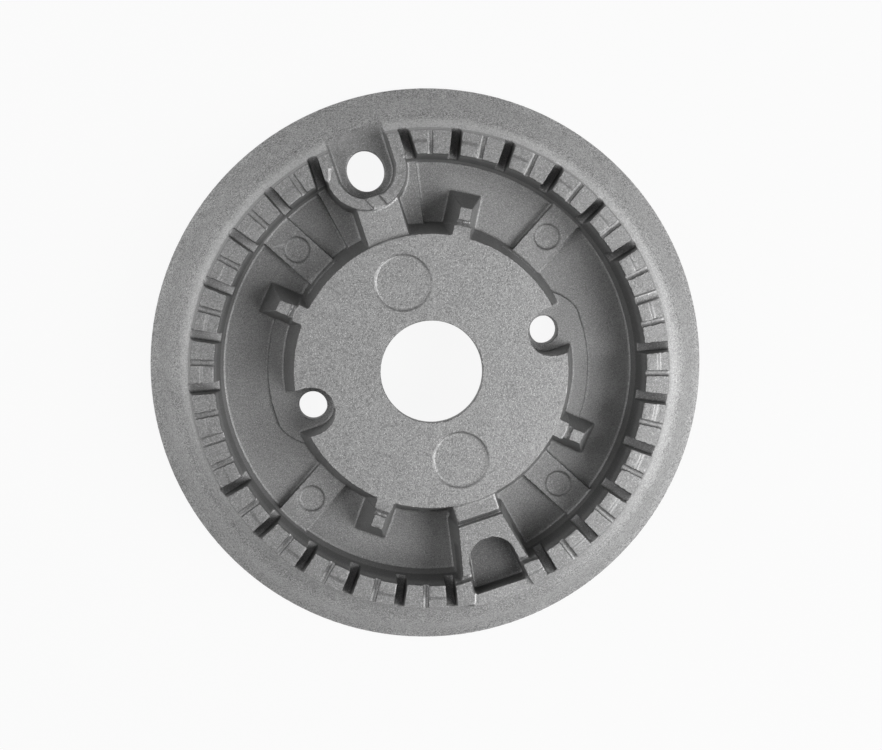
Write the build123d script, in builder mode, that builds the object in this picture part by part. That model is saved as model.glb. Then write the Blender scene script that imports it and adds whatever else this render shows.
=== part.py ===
from build123d import *
from math import cos, radians, sin, sqrt, tan
import os

# Gas burner head, one aluminium casting, in millimetres.
# The axis of the round body is Z, the seat is at height 0, the electrode niche is towards +Y,
# the blind sensor pocket is towards -Y and the two fixing screws stand on the X axis.

# Levels above the seat
rim_height = 1.0
floor_level = 3.4
boss_level = 4.0
pad_level = 5.0
ledge_level = 8.1
niche_level = 8.9
pocket_level = 9.0
shelf_level = 9.9
sill_level = 13.0
bridge_level = 13.4
plateau_height = 14.2
ring_height = 14.4

# Round body: radii
rim_radius = 50.0
rim_foot_width = 1.7
ring_outer_radius = 41.45
ring_width = 4.1
ring_foot_width = 0.85
chamber_foot_width = 0.6
plateau_radius = 23.8
plateau_draft = 12.0
bore_radius = 8.85

# Slope of the flange: its width from the ring's foot to the rim in equal parts, and for each
# point how many of them it lies outward, with its height
flange_parts = 77
flange_knee_place = (7, 9.3)
flange_shelf_place = (17, 8.85)
flange_shoulder_place = (29, 7.9)
flange_steep_place = (42, 5.9)
flange_low_place = (57, 3.1)

# Underside
plate_thickness = 2.2
cavity_top_radius = 21.5
cavity_foot_radius = 22.9
inner_seat_radius = 25.8
outer_seat_setback = 1.15
outer_seat_width = 3.1
flange_hollow_level = 7.0

# Flame ring: slots at an even pitch from the pocket's side
pocket_angle = 270.0
slot_pitch = 13.0
slots_per_side = 12
slot_width = 1.8
slot_inner_level = 8.1
slot_outer_level = 9.6
slot_overrun_inside = 0.65
slot_overrun_outside = 0.2
slot_end_rounding = 0.8
niche_slot_offset = 8.15
groove_width = 0.95
groove_depth = 0.6
step_rise = 0.45
step_width = 2.0
step_slope = 0.4
channel_width = 1.5
channel_depth = 0.5

# Fixing screws and the notches in the plateau around them
screw_spacing = 43.7
screw_hole_radius = 2.55
notch_radius = 4.4
notch_draft = 3.0
notch_chamfer = 0.35
boss_wall = 2.0
crescent_radius = 28.8
crescent_start = -36.5
crescent_end = 3.0
crescent_tip = (25.0, 6.2)
crescent_bend = (27.5, 4.0)

# Lugs between plateau and ring
lug_angles = (60.0, 138.4, 232.4, 317.8)
lug_base_width = 5.9
lug_base_reach = 32.0
lug_top_width = 2.1
lug_top_reach = 28.8
neck_width = 3.05
neck_reach = 25.6
lug_dip_width = 1.0
lug_dip_depth = 1.1

# Low pads and the marks on them
pad_angles = (30.0, 120.0, 210.0, 300.0)
pad_width = 6.1
pad_mark_radius = 31.5
pad_mark_size = 2.3
plate_mark_radius = 16.15
plate_mark_size = 4.9
mark_depth = 0.3
ledge_width = 0.3
ledge_arcs = ((25.0, 17.0), (113.0, 17.0), (247.0, 5.0), (285.0, 20.0))

# Electrode niche
niche_centre = 36.5
niche_radius = 5.1
niche_flat = 31.75
niche_reach = 46.0
niche_draft = 2.0
niche_wall_level = 14.2
niche_wall_radius = 7.0
niche_wall_draft = 3.0
niche_rim_start = (6.9, 35.5)
niche_rim_end = (6.0, 38.6)
electrode_hole_width = 6.5
electrode_hole_length = 7.2
spark_groove_width = 2.3
spark_groove_length = 3.6
spark_groove_depth = 0.5
spark_groove_skew = 25.0
bridge_width = 7.4
bridge_draft = 4.0
apron_inner = (7.0, 24.2)
apron_outer = (9.3, 36.6)

# Blind sensor pocket
block_inner = (4.0, 27.4)
block_outer = (6.3, 37.6)
block_base_inner = (5.07, 26.9)
block_base_outer = (7.1, 37.6)
sensor_bridge_width = 7.6
sensor_bridge_level = 13.9
block_dip_width = 1.0
block_dip_depth = 1.1
pocket_crown = 30.6
pocket_inner = (3.95, 33.4)
pocket_outer = (5.0, 39.95)
pocket_corner = 0.7
pocket_draft = 3.0
sill_inner = (4.9, 39.5)
sill_outer = (6.1, 43.0)
sill_draft = 10.0
cross_notch_reach = 36.4
cross_notch_width = 0.9
cross_notch_length = 16.0
cross_notch_depth = 1.5

# Hollows below the niche and the pocket
hollow_wall = 2.0
pocket_hollow = (3.2, 31.8, 38.4)

ring_inner_radius = ring_outer_radius - ring_width
ring_foot_radius = ring_outer_radius + ring_foot_width
chamber_radius = ring_inner_radius - chamber_foot_width
outer_seat_outer_radius = ring_outer_radius - outer_seat_setback
outer_seat_inner_radius = outer_seat_outer_radius - outer_seat_width
slot_start_radius = chamber_radius - slot_overrun_inside
slot_end_radius = ring_foot_radius + slot_overrun_outside
step_radius = ring_inner_radius + step_width
half_pitch = slot_pitch / 2
channel_place = 7
places = range(-slots_per_side, slots_per_side + 1)
slot_angles = [pocket_angle + k * slot_pitch for k in places if abs(k) not in (0, channel_place)]
channel_angles = [pocket_angle + k * slot_pitch for k in (-channel_place, channel_place)]
stepped_angles = [pocket_angle + k * slot_pitch for k in range(-slots_per_side, slots_per_side + 2)]
groove_places = range(-slots_per_side - 1, slots_per_side + 1)
groove_angles = [pocket_angle + (k + 0.5) * slot_pitch for k in groove_places]
above = ring_height + 4 * step_rise
plateau_foot_radius = plateau_radius + (plateau_height - floor_level) * tan(radians(plateau_draft))
buried = 0.6


def on_flange(place):
    """Radius and height of a point of the flange's slope."""
    parts, height = place
    return (ring_foot_radius + (rim_radius - ring_foot_radius) * parts / flange_parts, height)


flange_knee = on_flange(flange_knee_place)
flange_shelf = on_flange(flange_shelf_place)
flange_shoulder = on_flange(flange_shoulder_place)
flange_steep = on_flange(flange_steep_place)
flange_low = on_flange(flange_low_place)


def spoke(angle):
    """Upright plane along the radius at this angle: x runs outward and y runs up."""
    a = radians(angle)
    return Plane(origin=(0, 0, 0), x_dir=(cos(a), sin(a), 0), z_dir=(sin(a), -cos(a), 0))


def turned(angles):
    """Places around the axis at these angles."""
    return [Location((0, 0, 0), (0, 0, angle)) for angle in angles]


def mirrored_outline(points, sign=1):
    """Closed outline, the same on both sides of the Y axis; sign turns it towards +Y or -Y."""
    right = [(x, sign * y) for x, y in points]
    left = [(-x, sign * y) for x, y in reversed(points)]
    return right + left


# Slot through the ring, its floor rising outward
with BuildPart() as slot_cutter:
    with BuildSketch(Plane.XZ):
        with BuildLine():
            Polyline(
                (slot_start_radius, slot_inner_level),
                (slot_end_radius, slot_outer_level),
                (slot_end_radius, above),
                (slot_start_radius, above),
                close=True,
            )
        make_face()
    extrude(amount=slot_width / 2, both=True)
    slot_end_edges = slot_cutter.edges().filter_by(Axis.Z).group_by(Axis.X)[-1]
    fillet(slot_end_edges, radius=slot_end_rounding)

# Narrow groove across the land, midway between two slots
with BuildPart() as groove_cutter:
    with BuildSketch(Plane.XY.offset(ring_height - groove_depth)):
        with Locations(((slot_start_radius + slot_end_radius) / 2, 0)):
            Rectangle(slot_end_radius - slot_start_radius, groove_width)
    extrude(amount=above - ring_height + groove_depth)

# Wide shallow channel in place of a slot
with BuildPart() as channel_cutter:
    with BuildSketch(Plane.XY.offset(ring_height - channel_depth)):
        with Locations(((slot_start_radius + slot_end_radius) / 2, 0)):
            Rectangle(slot_end_radius - slot_start_radius, channel_width)
    extrude(amount=above - ring_height + channel_depth)

# Raised inner part of the land, clockwise of its slot, with a slope facing outward
with BuildPart() as land_step:
    with BuildSketch(spoke(-half_pitch)):
        with BuildLine():
            Polyline(
                (ring_inner_radius, ring_height - buried),
                (ring_inner_radius, ring_height + step_rise),
                (step_radius, ring_height + step_rise),
                (step_radius + step_slope, ring_height),
                (step_radius + step_slope, ring_height - buried),
                close=True,
            )
        make_face()
    revolve(axis=Axis.Z, revolution_arc=half_pitch)

# Lug: a tall block that tapers upward, with a neck that joins it to the plateau
lug_foot = floor_level - buried
with BuildPart() as lug:
    with BuildSketch(Plane.XY.offset(lug_foot)):
        with Locations(((plateau_radius + lug_base_reach) / 2, 0)):
            Rectangle(lug_base_reach - plateau_radius, lug_base_width)
    with BuildSketch(Plane.XY.offset(plateau_height)):
        with Locations(((plateau_radius + lug_top_reach) / 2, 0)):
            Rectangle(lug_top_reach - plateau_radius, lug_top_width)
    loft()
    neck_root = plateau_radius - hollow_wall / 2
    with BuildSketch(Plane.XY.offset(lug_foot)):
        with Locations(((neck_root + plateau_foot_radius) / 2, 0)):
            Rectangle(plateau_foot_radius - neck_root, lug_base_width)
    with BuildSketch(Plane.XY.offset(plateau_height)):
        with Locations(((neck_root + neck_reach) / 2, 0)):
            Rectangle(neck_reach - neck_root, neck_width)
    loft()
    with BuildSketch(Plane.XZ):
        with BuildLine():
            Polyline(
                (neck_reach, plateau_height),
                (neck_reach + lug_dip_width, plateau_height - lug_dip_depth),
                (neck_reach + lug_dip_width, above),
                (neck_reach, above),
                close=True,
            )
        make_face()
    extrude(amount=lug_base_width, both=True, mode=Mode.SUBTRACT)

# Low pad from the plateau's foot to the ring's wall
with BuildPart() as low_pad:
    with BuildSketch(Plane.XY.offset(floor_level - buried)):
        with Locations(((plateau_radius + ring_inner_radius) / 2, 0)):
            Rectangle(ring_inner_radius - plateau_radius, pad_width)
    extrude(amount=pad_level - floor_level + buried)

# Crescent that widens the screw's seat along the plateau's foot
with BuildPart() as crescent:
    with BuildSketch(Plane.XY.offset(floor_level - buried)):
        start = radians(crescent_start)
        end = radians(crescent_end)
        middle = (start + end) / 2
        inner_start = (plateau_radius * cos(start), plateau_radius * sin(start))
        outer_start = (crescent_radius * cos(start), crescent_radius * sin(start))
        outer_middle = (crescent_radius * cos(middle), crescent_radius * sin(middle))
        outer_end = (crescent_radius * cos(end), crescent_radius * sin(end))
        with BuildLine():
            Line(inner_start, outer_start)
            ThreePointArc(outer_start, outer_middle, outer_end)
            ThreePointArc(outer_end, crescent_bend, crescent_tip)
            Polyline(crescent_tip, (plateau_radius, 0), inner_start)
        make_face()
    extrude(amount=boss_level - floor_level + buried)

# Notch in the plateau around a fixing screw, open outward
notch_depth = plateau_height - boss_level
with BuildPart() as notch_cutter:
    with BuildSketch(Plane.XY.offset(plateau_height)):
        with Locations((screw_spacing / 2, 0)):
            Circle(notch_radius)
        with Locations((screw_spacing / 2 + notch_radius, 0)):
            Rectangle(2 * notch_radius, 2 * notch_radius)
    extrude(amount=-notch_depth, taper=notch_draft)
    notch_rim = notch_cutter.faces().sort_by(Axis.Z)[-1].edges()
    chamfer(notch_rim, length=3 * notch_chamfer, length2=notch_chamfer)

# Hollow below the plateau, leaving the two screw bosses
with BuildPart() as pedestal_cavity:
    with BuildSketch(Plane.XZ):
        with BuildLine():
            Polyline(
                (0, 0),
                (cavity_foot_radius, 0),
                (cavity_top_radius, plateau_height - plate_thickness),
                (0, plateau_height - plate_thickness),
                close=True,
            )
        make_face()
    revolve(axis=Axis.Z)
    with Locations((-screw_spacing / 2, 0, 0), (screw_spacing / 2, 0, 0)):
        Cylinder(
            notch_radius + boss_wall,
            plateau_height,
            align=(Align.CENTER, Align.CENTER, Align.MIN),
            mode=Mode.SUBTRACT,
        )

# Shelf line cast on the plateau's wall
ledge_radius = plateau_radius + (plateau_height - ledge_level) * tan(radians(plateau_draft)) + ledge_width
with BuildPart() as ledges:
    for ledge_start, ledge_arc in ledge_arcs:
        with BuildSketch(spoke(ledge_start)):
            with BuildLine():
                Polyline(
                    (plateau_radius, ledge_level),
                    (ledge_radius, ledge_level),
                    (ledge_radius, ledge_level - ledge_width / tan(radians(plateau_draft))),
                    (plateau_radius, pad_level),
                    close=True,
                )
            make_face()
        revolve(axis=Axis.Z, revolution_arc=ledge_arc)

# Electrode niche: a recess open outward, its inner end cut flat
half_flat = sqrt(niche_radius**2 - (niche_centre - niche_flat) ** 2)
with BuildPart() as niche_cutter:
    with BuildSketch(Plane.XY.offset(niche_wall_level)) as niche_plan:
        with BuildLine():
            Polyline(
                (half_flat, niche_flat),
                (-half_flat, niche_flat),
            )
            RadiusArc((-half_flat, niche_flat), (-niche_radius, niche_centre), niche_radius)
            Polyline(
                (-niche_radius, niche_centre),
                (-niche_radius, niche_reach),
                (niche_radius, niche_reach),
                (niche_radius, niche_centre),
            )
            RadiusArc((niche_radius, niche_centre), (half_flat, niche_flat), niche_radius)
        make_face()
    extrude(amount=niche_level - niche_wall_level, taper=niche_draft)
    extrude(niche_plan.sketch, amount=above - niche_wall_level)

# Blind sensor pocket: round towards the axis, wider and straight at its outer end
with BuildPart() as pocket_cutter:
    with BuildSketch(Plane.XY.offset(ring_height)) as pocket_plan:
        with BuildLine():
            ThreePointArc(
                (-pocket_inner[0], -pocket_inner[1]),
                (0, -pocket_crown),
                (pocket_inner[0], -pocket_inner[1]),
            )
            Polyline(
                (pocket_inner[0], -pocket_inner[1]),
                (pocket_outer[0], -pocket_outer[1]),
                (-pocket_outer[0], -pocket_outer[1]),
                (-pocket_inner[0], -pocket_inner[1]),
            )
        make_face()
        fillet(pocket_plan.vertices().group_by(Axis.Y)[0], radius=pocket_corner)
    extrude(amount=pocket_level - ring_height, taper=pocket_draft)
    extrude(pocket_plan.sketch, amount=above - ring_height)

with BuildPart() as burner_head:
    # Round body: plateau, annular floor, ring and flange over a plain underside
    floor_under = floor_level - plate_thickness
    with BuildSketch(Plane.XZ):
        with BuildLine():
            Polyline(
                (0, 0),
                (0, plateau_height),
                (plateau_radius, plateau_height),
                (plateau_foot_radius, floor_level),
                (chamber_radius, floor_level),
                (ring_inner_radius, ring_height),
                (ring_outer_radius, ring_height),
                (ring_foot_radius, shelf_level),
                flange_knee,
                flange_shelf,
            )
            Spline(
                flange_shelf,
                flange_shoulder,
                flange_steep,
                flange_low,
                (rim_radius, rim_height),
            )
            Polyline(
                (rim_radius, rim_height),
                (rim_radius, 0),
                (rim_radius - rim_foot_width, 0),
                (flange_low[0] - plate_thickness, flange_low[1]),
                (flange_shoulder[0] - plate_thickness / 2, flange_shoulder[1] - plate_thickness),
                (flange_shelf[0] - plate_thickness, flange_hollow_level),
                (outer_seat_outer_radius, flange_hollow_level),
                (outer_seat_outer_radius, 0),
                (outer_seat_inner_radius, 0),
                (outer_seat_inner_radius - floor_under, floor_under),
                (inner_seat_radius + floor_under / 2, floor_under),
                (inner_seat_radius, 0),
                (0, 0),
            )
        make_face()
    revolve(axis=Axis.Z)

    # Flame ring: raised steps first, then what cuts through them
    with Locations(*turned(stepped_angles)):
        add(land_step.part)

    # Wall around the electrode niche, bridge to the plateau and low apron beside it
    niche_wall_end = (ring_inner_radius + ring_outer_radius) / 2
    with BuildSketch(Plane.XY.offset(niche_wall_level)):
        with BuildLine():
            RadiusArc(
                (-niche_wall_radius, niche_centre),
                (niche_wall_radius, niche_centre),
                -niche_wall_radius,
            )
            Polyline(
                (niche_wall_radius, niche_centre),
                (niche_wall_radius, niche_wall_end),
                (-niche_wall_radius, niche_wall_end),
                (-niche_wall_radius, niche_centre),
            )
        make_face()
    extrude(amount=floor_level - niche_wall_level, taper=-niche_wall_draft)
    with BuildSketch(Plane.XY.offset(bridge_level)):
        with Locations((0, (plateau_radius + niche_flat) / 2)):
            Rectangle(bridge_width, niche_flat - plateau_radius)
    extrude(amount=floor_level - bridge_level, taper=-bridge_draft)
    with BuildSketch(Plane.XY.offset(floor_level - buried)):
        Polygon(*mirrored_outline([apron_inner, apron_outer]), align=None)
    extrude(amount=pad_level - floor_level + buried)

    # Block of the sensor pocket, its bridge to the plateau and the sill at its outer end
    with BuildSketch(Plane.XY.offset(floor_level - buried)):
        Polygon(*mirrored_outline([block_base_inner, block_base_outer], -1), align=None)
    with BuildSketch(Plane.XY.offset(ring_height)):
        Polygon(*mirrored_outline([block_inner, block_outer], -1), align=None)
    loft()
    with BuildSketch(Plane.XY.offset(sensor_bridge_level)):
        with Locations((0, -(plateau_radius + block_inner[1]) / 2)):
            Rectangle(sensor_bridge_width, block_inner[1] - plateau_radius + 2 * buried)
    extrude(amount=floor_level - sensor_bridge_level, taper=-bridge_draft)

    # Chamber floor: lugs, low pads and crescents
    with Locations(*turned(lug_angles)):
        add(lug.part)
    with Locations(*turned(pad_angles)):
        add(low_pad.part)
    with Locations(*turned((0, 180))):
        add(crescent.part)

    add(ledges.part)
    with BuildSketch(Plane.XY.offset(sill_level)):
        Circle(ring_foot_radius)
        Polygon(*mirrored_outline([sill_inner, sill_outer], -1), align=None, mode=Mode.INTERSECT)
    extrude(amount=pocket_level - sill_level, taper=-sill_draft)

    # Slots, with the two beside the niche parallel to it, then grooves and channels
    with Locations(*turned(slot_angles)):
        add(slot_cutter.part, mode=Mode.SUBTRACT)
    niche_slot_setback = slot_end_radius - sqrt(slot_end_radius**2 - niche_slot_offset**2)
    for side in (-1, 1):
        with Locations(Location((side * niche_slot_offset, -niche_slot_setback, 0), (0, 0, 90))):
            add(slot_cutter.part, mode=Mode.SUBTRACT)
    with Locations(*turned(groove_angles)):
        add(groove_cutter.part, mode=Mode.SUBTRACT)
    with Locations(*turned(channel_angles)):
        add(channel_cutter.part, mode=Mode.SUBTRACT)

    # Electrode niche with its hole, the flat rim of its wall and the groove across it
    add(niche_cutter.part, mode=Mode.SUBTRACT)
    with BuildSketch(Plane.XY.offset(niche_wall_level)):
        Polygon(*mirrored_outline([niche_rim_start, niche_rim_end]), align=None)
    extrude(amount=above - niche_wall_level, mode=Mode.SUBTRACT)
    with BuildSketch(Plane.XY.offset(niche_wall_level - spark_groove_depth)):
        with Locations((0, (niche_flat + niche_centre - niche_wall_radius) / 2)):
            Rectangle(spark_groove_width, spark_groove_length, rotation=spark_groove_skew)
    extrude(amount=above - niche_wall_level, mode=Mode.SUBTRACT)
    with BuildSketch(Plane.XY):
        with Locations((0, niche_centre)):
            Circle(niche_wall_radius - hollow_wall)
    extrude(amount=niche_level - plate_thickness, mode=Mode.SUBTRACT)
    with BuildSketch(Plane.XY):
        with Locations((0, niche_centre)):
            Ellipse(electrode_hole_width / 2, electrode_hole_length / 2)
    extrude(amount=above, mode=Mode.SUBTRACT)

    # Sensor pocket with its low sill, the cross notches in its sides and the dip in its bridge
    with BuildSketch(Plane.XY.offset(sill_level)):
        Polygon(*mirrored_outline([sill_inner, sill_outer], -1), align=None)
    extrude(amount=above - sill_level, mode=Mode.SUBTRACT)
    add(pocket_cutter.part, mode=Mode.SUBTRACT)
    with BuildSketch(Plane.XY.offset(ring_height - cross_notch_depth)):
        with Locations((0, -cross_notch_reach)):
            Rectangle(cross_notch_length, cross_notch_width)
    extrude(amount=above - ring_height + cross_notch_depth, mode=Mode.SUBTRACT)
    with BuildSketch(spoke(pocket_angle)):
        with BuildLine():
            Polyline(
                (block_inner[1] - block_dip_width, sensor_bridge_level),
                (block_inner[1], sensor_bridge_level - block_dip_depth),
                (block_inner[1], above),
                (block_inner[1] - block_dip_width, above),
                close=True,
            )
        make_face()
    extrude(amount=sensor_bridge_width, both=True, mode=Mode.SUBTRACT)
    with BuildSketch(Plane.XY):
        hollow_half_width, hollow_start, hollow_end = pocket_hollow
        with Locations((0, -(hollow_start + hollow_end) / 2)):
            Rectangle(2 * hollow_half_width, hollow_end - hollow_start)
    extrude(amount=pocket_level - plate_thickness, mode=Mode.SUBTRACT)

    # Shallow round marks on the low pads and on the plateau
    with BuildSketch(Plane.XY.offset(pad_level - mark_depth)):
        with PolarLocations(pad_mark_radius, len(pad_angles), start_angle=pad_angles[0]):
            Circle(pad_mark_size)
    extrude(amount=pad_level, mode=Mode.SUBTRACT)
    with BuildSketch(Plane.XY.offset(plateau_height - mark_depth)):
        with Locations((0, plate_mark_radius), (0, -plate_mark_radius)):
            Circle(plate_mark_size)
    extrude(amount=pad_level, mode=Mode.SUBTRACT)

    # Centre: bore, screw notches, screw holes and the hollow below
    with Locations(*turned((0, 180))):
        add(notch_cutter.part, mode=Mode.SUBTRACT)
    add(pedestal_cavity.part, mode=Mode.SUBTRACT)
    with Locations((0, 0, 0)):
        Cylinder(bore_radius, 2 * above, mode=Mode.SUBTRACT)
    with Locations((-screw_spacing / 2, 0, 0), (screw_spacing / 2, 0, 0)):
        Cylinder(screw_hole_radius, 2 * above, mode=Mode.SUBTRACT)

burner_head.part.label = "burner_head"

os.makedirs("parts", exist_ok=True)
export_step(burner_head.part, "parts/burner_head.step")
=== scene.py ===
"""Looks of the gas burner head: a shot-blasted aluminium casting on a pale floor, seen from above."""

from math import cos, radians, sin

import bpy
from mathutils import Matrix, Vector

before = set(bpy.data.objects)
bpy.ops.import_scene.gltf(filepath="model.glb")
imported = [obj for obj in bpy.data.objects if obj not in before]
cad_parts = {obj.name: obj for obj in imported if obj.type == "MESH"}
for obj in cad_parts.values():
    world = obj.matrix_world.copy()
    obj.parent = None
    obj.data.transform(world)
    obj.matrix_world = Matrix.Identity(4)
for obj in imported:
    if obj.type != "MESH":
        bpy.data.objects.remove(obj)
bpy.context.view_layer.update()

MM = 0.001

# The photograph's frame in pixels, and where the centre of the part's rim stands in it
PHOTO_WIDTH = 882
PHOTO_HEIGHT = 750
AIM_X = 427.8
AIM_Y = 366.3
FOCAL_PIXELS = 1429.8

# The camera stands nearly straight above, a little towards the electrode niche. Angles are in degrees
AIM_HEIGHT = 1.0 * MM
CAMERA_DISTANCE = 260.0 * MM
CAMERA_TILT = 5.207
CAMERA_AZIMUTH = 108.165
PHOTO_UP_AZIMUTH = 72.0
SENSOR_WIDTH = 36.0
CLIP_START = 10.0 * MM

# The floor: its width in metres, its paint, and how white it is to rays that see the background
FLOOR_SIZE = 4.0
FLOOR_PAINT = 0.5
FLOOR_SEEN = 0.92
MIRRORED_SEEN = 0.7

# The room: the ceiling is lighter towards X and Y, and the white backdrop fades out at this height
CEILING_LIGHT = 0.15
CEILING_LEAN = 0.08
BACKDROP_TOP = (0.2, 0.35)

# Square soft lamps: the azimuth and the elevation that each shines from, and its watts
LAMPS = {"key": (325.0, 42.0, 4.4), "fill": (152.0, 38.0, 1.8)}
LAMP_DISTANCE = 0.6
LAMP_SIZE = 0.5

# Edges between the areas of the finish, as the places where a change starts and ends. First the radii
PLATEAU_EDGE = (24.2 * MM, 24.6 * MM)
RING_INSIDE = (36.0 * MM, 36.8 * MM)
RING_OUTSIDE = (41.5 * MM, 42.0 * MM)
BODY_END = (41.9 * MM, 42.4 * MM)
RING_FOOT_END = (42.8 * MM, 44.6 * MM)
FLANGE_START = (43.0 * MM, 45.0 * MM)
NICHE_END = (43.9 * MM, 44.2 * MM)

# Edges along Y and to both sides of it: the niche and the pocket are equally wide
NICHE_START = (30.0 * MM, 31.0 * MM)
POCKET_START = (-31.5 * MM, -30.5 * MM)
NICHE_SIDE = (5.0 * MM, 5.4 * MM)

# Edges between heights
PAD_TOP = (4.0 * MM, 4.4 * MM)
SLOT_FLOOR = (6.5 * MM, 7.5 * MM)
RECESS_TOP = (6.5 * MM, 11.0 * MM)
NICHE_FLOOR = (9.2 * MM, 12.0 * MM)
SLOT_TOP = (10.5 * MM, 13.0 * MM)
PLATEAU_TOP = (13.0 * MM, 13.4 * MM)
LUG_TOP = (13.5 * MM, 13.9 * MM)

# How upright a face's direction is, from a steep wall to a level top. Steep walls inside the ring get
# painted shade
LEVEL = (0.45, 0.93)

# Round marks on the plateau and on the low pads, whose outlines get a thin painted shade line
PLATEAU_MARKS = ((0.0, 16.15 * MM), (0.0, -16.15 * MM))
PLATEAU_MARK_SIZE = 4.9 * MM
PAD_ANGLES = (30.0, 120.0, 210.0, 300.0)
PAD_MARK_RADIUS = 31.5 * MM
PAD_MARK_SIZE = 2.3 * MM
MARK_LINE = 0.3 * MM

# Blasted grain from coarse to fine: grains per metre, layers of detail and their roughness
GRAINS = {
    "cloud": (160.0, 3.0, 0.5),
    "mottle": (900.0, 3.0, 0.6),
    "grain": (3000.0, 2.0, 0.6),
    "finest_grain": (6500.0, 1.0, 0.5),
}
RELIEF_SHARES = {"grain": 0.6, "mottle": 0.15, "finest_grain": 0.35}
RELIEF = 0.8
RELIEF_MORE_ON_FLANGE = 0.7
BUMP_STRENGTH = 0.7
BUMP_DEPTH = 0.12 * MM
SPECKLE_SHARES = {"cloud": 0.15, "mottle": 0.2, "grain": 0.9, "finest_grain": 0.8}
SPECKLE = 0.7
SPECKLE_MORE_ON_FLANGE = 0.6

# Greys of the casting, and where the plateau stands between the dark and the light one
DARK_GREY = 0.03
LIGHT_GREY = 0.58
PLATEAU_SHADE = 0.55

# Painted glints: the brightest specks of the finest grain are lightened towards a light grey, standing in
# for the blasted skin's sparkle
PAINTED_GLINT_START = (0.62, 0.75)
PAINTED_GLINT_GREY = 0.85
PAINTED_GLINT_SHARE = 0.5

# How much darker the recesses, walls and tops look than the plateau, and how much lighter the flange. On the
# walls, slots, niche floor, pocket floor and mark outlines this darkening is painted shade
PAINTED_SHADE_AND_DARKER_TOPS = {"wall": 0.24, "slot": 0.45, "top": 0.14, "niche_floor": 0.2, "mark": 0.3, "pocket_floor": 0.2}
FLANGE_LIGHTER = 0.08

# Painted light: the band around the ring's foot is lighter by this much, more so towards the niche and less
# away from it
RING_FOOT_PAINTED_LIGHT = 0.35
RING_FOOT_PAINTED_LIGHT_FADE = 120.0 * MM

# Aluminium under a dull blasted skin
METALLIC = 0.7
ROUGHNESS = 0.5
GRAIN_ROUGHNESS = 0.3
RECESS_ROUGHNESS = 0.1
FLANGE_ROUGHNESS = 0.15

# The casting's soft edges: cells of the new skin, how many of its faces stay, and which bends stay crisp
SKIN_CELL = 0.2 * MM
FACES_KEPT = 0.105
CRISP_ANGLE = 24.0
FLATS_WEIGHT = 60


class Value:
    """A number socket in a node tree: expressions on it add Math nodes."""

    def __init__(self, board, socket):
        self.board = board
        self.socket = socket

    def math(self, operation, *others):
        return self.board.node("ShaderNodeMath", {"operation": operation}, dict(enumerate((self, *others))))

    def __add__(self, other):
        return self.math("ADD", other)

    __radd__ = __add__

    def __sub__(self, other):
        return self.math("SUBTRACT", other)

    def __rsub__(self, other):
        return self.board.node("ShaderNodeMath", {"operation": "SUBTRACT"}, {0: other, 1: self})

    def __mul__(self, other):
        return self.math("MULTIPLY", other)

    __rmul__ = __mul__

    def past(self, edge):
        """Goes smoothly from 0 at the edge's start to 1 at its end."""
        start, end = edge
        return self.board.node(
            "ShaderNodeMapRange",
            {"interpolation_type": "SMOOTHSTEP"},
            {"Value": self, "From Min": start, "From Max": end, "To Min": 0.0, "To Max": 1.0},
        )

    def before(self, edge):
        """Goes smoothly from 1 at the edge's start to 0 at its end."""
        return 1 - self.past(edge)


class Board:
    """The node tree of one material or of the world."""

    def __init__(self, tree):
        self.tree = tree
        tree.nodes.clear()

    def node(self, kind, settings=None, sockets=None, output=0):
        """Adds a node, sets its settings first and then its sockets, and gives one output."""
        made = self.tree.nodes.new(kind)
        for name, value in (settings or {}).items():
            setattr(made, name, value)
        for name, value in (sockets or {}).items():
            if isinstance(value, Value):
                self.tree.links.new(value.socket, made.inputs[name])
            else:
                made.inputs[name].default_value = value
        return Value(self, made.outputs[output]) if made.outputs else None

    def noise(self, place, scale, detail, roughness):
        return self.node(
            "ShaderNodeTexNoise",
            {"noise_dimensions": "3D"},
            {"Vector": place, "Scale": scale, "Detail": detail, "Roughness": roughness},
            "Fac",
        )

    def colour_mix(self, under, over, amount):
        """The colour over, laid on the colour under by a number."""
        return self.node(
            "ShaderNodeMix",
            {"data_type": "RGBA", "clamp_factor": True},
            {0: amount, 6: under, 7: over},
            2,
        )

    def circle_line(self, x, y, centre, radius):
        """1 on a thin circle around an upright axis through this centre."""
        across, along = x - centre[0], y - centre[1]
        off = ((across * across + along * along).math("SQRT") - radius).math("ABSOLUTE")
        return off.before((MARK_LINE / 4, MARK_LINE))

    def seen_rays(self):
        """How white a ray finds the background: full for the camera's and through glass, less in mirrors."""
        camera = self.node("ShaderNodeLightPath", output="Is Camera Ray")
        glossy = self.node("ShaderNodeLightPath", output="Is Glossy Ray")
        through = self.node("ShaderNodeLightPath", output="Is Transmission Ray")
        return (camera + glossy * MIRRORED_SEEN + through).math("MINIMUM", 1.0)

    def parts_of(self, vector):
        """The three numbers of a vector."""
        made = self.node("ShaderNodeSeparateXYZ", None, {"Vector": vector})
        return [Value(self, socket) for socket in made.socket.node.outputs]


def grey(level):
    return (level, level, level, 1.0)


def on_circle(radius, angle):
    return (radius * cos(radians(angle)), radius * sin(radians(angle)))


def painted_mark_shade_lines(board, x, y, z):
    """Painted shade lines along the outlines of the round marks on the plateau and on the low pads."""
    pad_centres = [on_circle(PAD_MARK_RADIUS, angle) for angle in PAD_ANGLES]
    on_plateau = sum(board.circle_line(x, y, centre, PLATEAU_MARK_SIZE) for centre in PLATEAU_MARKS)
    on_pads = sum(board.circle_line(x, y, centre, PAD_MARK_SIZE) for centre in pad_centres)
    return on_plateau * z.past(PLATEAU_TOP) + on_pads * z.past(PAD_TOP)


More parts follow.
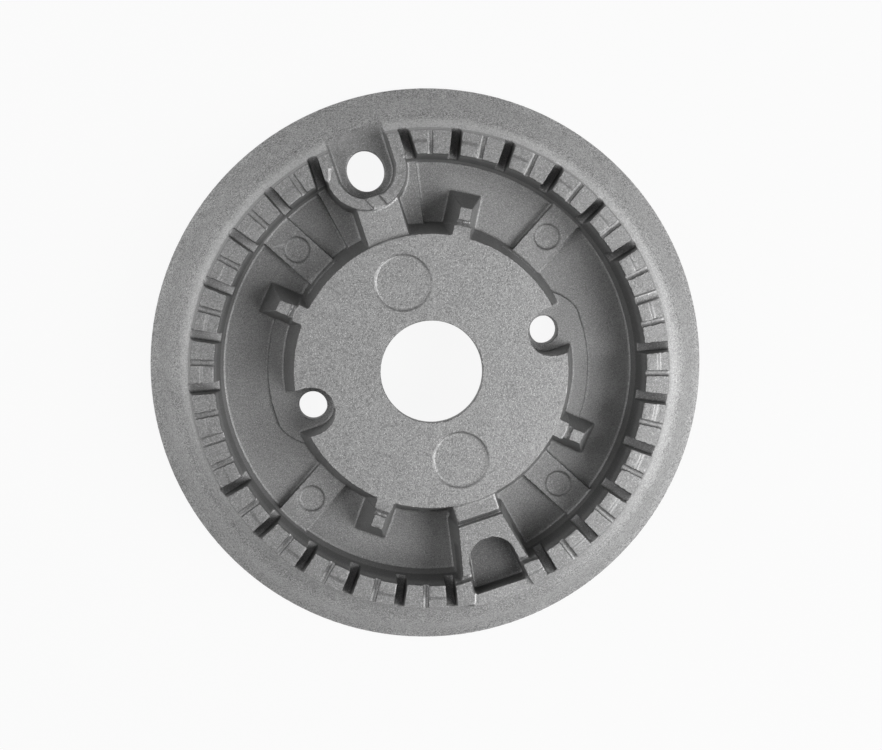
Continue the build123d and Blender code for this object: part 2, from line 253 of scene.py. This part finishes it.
def finish_areas(board, place):
    """Areas that look different from the plateau: 1 inside, 0 outside. The wall, slot, niche floor, pocket
    floor and mark areas carry painted shade, and the ring's foot carries painted light that fades along Y.
    """
    x, y, z = board.parts_of(place)
    upright = board.parts_of(board.node("ShaderNodeTexCoord", output="Normal"))[2]
    radius = (x * x + y * y).math("SQRT")
    inside = radius.before(BODY_END)
    off_ring = radius.past(RING_OUTSIDE)
    in_ring = radius.past(RING_INSIDE) * inside
    near_middle = x.math("ABSOLUTE").before(NICHE_SIDE)
    in_niche = y.past(NICHE_START) * near_middle
    on_niche = in_niche * radius.before(NICHE_END)
    in_pocket = y.before(POCKET_START) * inside
    slot_height = z.past(SLOT_FLOOR) * z.before(SLOT_TOP)
    painted_foot_light = off_ring * radius.before(RING_FOOT_END) * (1 - on_niche)
    return {
        "off_ring": off_ring,
        "flange": radius.past(FLANGE_START),
        # Painted light on the band around the ring's foot, stronger towards the niche
        "painted_foot_light": painted_foot_light * (RING_FOOT_PAINTED_LIGHT + y * (1 / RING_FOOT_PAINTED_LIGHT_FADE)),
        "recess": z.before(RECESS_TOP) * inside,
        # Painted shade: walls, slots, niche floor, pocket floor and mark outlines
        "wall": upright.before(LEVEL) * inside,
        "slot": slot_height * in_ring.math("MAXIMUM", in_pocket) * (1 - in_niche),
        "top": z.past(LUG_TOP) * radius.past(PLATEAU_EDGE) * inside,
        "niche_floor": on_niche * z.before(NICHE_FLOOR),
        "pocket_floor": slot_height * in_pocket * near_middle,
        "mark": painted_mark_shade_lines(board, x, y, z),
    }


def cast_aluminium():
    """Shot-blasted cast aluminium: grey and grainy, with painted glints, duller in its recesses, darker
    there and on its walls by painted shade, and with painted light around the ring's foot.
    """
    material = bpy.data.materials.new("shot_blasted_casting")
    material.use_nodes = True
    board = Board(material.node_tree)
    place = board.node("ShaderNodeTexCoord", output="Object")
    areas = finish_areas(board, place)
    grains = {name: board.noise(place, *grain) for name, grain in GRAINS.items()}

    relief = sum(grains[name] * share for name, share in RELIEF_SHARES.items())
    relief = relief * (RELIEF + areas["flange"] * RELIEF_MORE_ON_FLANGE)
    bump = board.node(
        "ShaderNodeBump",
        None,
        {"Strength": BUMP_STRENGTH, "Distance": BUMP_DEPTH, "Height": relief},
        "Normal",
    )

    tone_and_painted_shade = 1 + areas["flange"] * FLANGE_LIGHTER
    for name, share in PAINTED_SHADE_AND_DARKER_TOPS.items():
        tone_and_painted_shade = tone_and_painted_shade * (1 - areas[name] * share)
    speckle = sum((grains[name] - 0.5) * share for name, share in SPECKLE_SHARES.items())
    speckle = speckle * (SPECKLE + areas["flange"] * SPECKLE_MORE_ON_FLANGE)
    # Grey level: the grain's speckle times the tone with its painted shade, and the ring foot's painted
    # light
    shade = (PLATEAU_SHADE + speckle) * tone_and_painted_shade * (1 + areas["painted_foot_light"])
    # Painted glints on the finest grain, dimmed by the same tone and painted shade
    painted_glint = grains["finest_grain"].past(PAINTED_GLINT_START) * tone_and_painted_shade
    colour = board.colour_mix(grey(DARK_GREY), grey(LIGHT_GREY), shade)

    roughness = ROUGHNESS + (grains["grain"] - 0.5) * GRAIN_ROUGHNESS
    roughness = roughness + areas["recess"] * RECESS_ROUGHNESS + areas["off_ring"] * FLANGE_ROUGHNESS
    surface = board.node(
        "ShaderNodeBsdfPrincipled",
        None,
        {
            "Base Color": board.colour_mix(colour, grey(PAINTED_GLINT_GREY), painted_glint * PAINTED_GLINT_SHARE),
            "Metallic": METALLIC,
            "Roughness": roughness,
            "Normal": bump,
        },
    )
    board.node("ShaderNodeOutputMaterial", None, {"Surface": surface})
    return material


def add_modifier(part, name, kind, settings):
    made = part.modifiers.new(name, kind)
    for setting, value in settings.items():
        setattr(made, setting, value)


def soften_edges(part):
    """Rounds the edges as casting and blasting do, then thins the skin and keeps its flats flat."""
    add_modifier(
        part, "soft_edges", "REMESH", {"mode": "VOXEL", "voxel_size": SKIN_CELL, "use_smooth_shade": True}
    )
    add_modifier(part, "rounding", "SMOOTH", {"factor": 0.5, "iterations": 1})
    add_modifier(part, "lighter", "DECIMATE", {"ratio": FACES_KEPT})
    add_modifier(
        part, "crisp_edges", "EDGE_SPLIT", {"split_angle": radians(CRISP_ANGLE), "use_edge_sharp": False}
    )
    add_modifier(part, "flats", "WEIGHTED_NORMAL", {"weight": FLATS_WEIGHT})


def pale_floor():
    """Plain white floor, which keeps a soft shadow of the part."""
    bpy.ops.mesh.primitive_plane_add(size=FLOOR_SIZE)
    floor = bpy.context.object
    floor.name = "floor"
    material = bpy.data.materials.new("pale_floor")
    material.use_nodes = True
    board = Board(material.node_tree)
    paint = board.node("ShaderNodeBsdfDiffuse", None, {"Color": grey(FLOOR_PAINT)})
    glow = board.node("ShaderNodeEmission", None, {"Color": grey(1.0), "Strength": 1.0})
    mixed = board.node("ShaderNodeMixShader", None, {0: board.seen_rays() * FLOOR_SEEN, 1: paint, 2: glow})
    board.node("ShaderNodeOutputMaterial", None, {"Surface": mixed})
    floor.data.materials.append(material)
    return floor


def soft_lamp(name, azimuth, elevation, watts):
    """Square soft lamp that looks at the part's middle from this direction."""
    data = bpy.data.lights.new(name, "AREA")
    data.size = LAMP_SIZE
    data.energy = watts
    lamp = bpy.data.objects.new(name, data)
    a, e = radians(azimuth), radians(elevation)
    lamp.location = LAMP_DISTANCE * Vector((cos(e) * cos(a), cos(e) * sin(a), sin(e)))
    lamp.rotation_euler = (-lamp.location).to_track_quat("-Z", "Y").to_euler()
    bpy.context.scene.collection.objects.link(lamp)


def studio():
    """A dim ceiling, a white backdrop for the rays that see it, and the lamps."""
    world = bpy.data.worlds.new("studio")
    bpy.context.scene.world = world
    world.use_nodes = True
    board = Board(world.node_tree)
    x, y, z = board.parts_of(board.node("ShaderNodeTexCoord", output="Generated"))
    ceiling = CEILING_LIGHT + (x + y) * CEILING_LEAN
    backdrop = board.seen_rays() * z.before(BACKDROP_TOP)
    level = ceiling + (1 - ceiling) * backdrop
    light = board.node("ShaderNodeBackground", None, {"Color": grey(1.0), "Strength": level})
    board.node("ShaderNodeOutputWorld", None, {"Surface": light})
    for name, (azimuth, elevation, watts) in LAMPS.items():
        soft_lamp(name, azimuth, elevation, watts)


def photo_camera():
    """Camera at the photograph's viewing angle."""
    data = bpy.data.cameras.new("photo_camera")
    data.sensor_fit = "HORIZONTAL"
    data.sensor_width = SENSOR_WIDTH
    data.lens = SENSOR_WIDTH * FOCAL_PIXELS / PHOTO_WIDTH
    data.shift_x = (PHOTO_WIDTH / 2 - AIM_X) / PHOTO_WIDTH
    data.shift_y = (AIM_Y - PHOTO_HEIGHT / 2) / PHOTO_WIDTH
    data.clip_start = CLIP_START
    camera = bpy.data.objects.new("photo_camera", data)
    tilt, azimuth, up = radians(CAMERA_TILT), radians(CAMERA_AZIMUTH), radians(PHOTO_UP_AZIMUTH)
    back = Vector((sin(tilt) * cos(azimuth), sin(tilt) * sin(azimuth), cos(tilt)))
    right = Vector((cos(up), sin(up), 0.0)).cross(back).normalized()
    place = Matrix((right, back.cross(right), back)).transposed().to_4x4()
    place.translation = Vector((0, 0, AIM_HEIGHT)) + CAMERA_DISTANCE * back
    camera.matrix_world = place
    bpy.context.scene.collection.objects.link(camera)
    bpy.context.scene.camera = camera


bpy.context.scene.view_settings.view_transform = "Standard"
photo_camera()
studio()
pale_floor()

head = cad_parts["burner_head"]
head.data.materials.clear()
head.data.materials.append(cast_aluminium())
soften_edges(head)
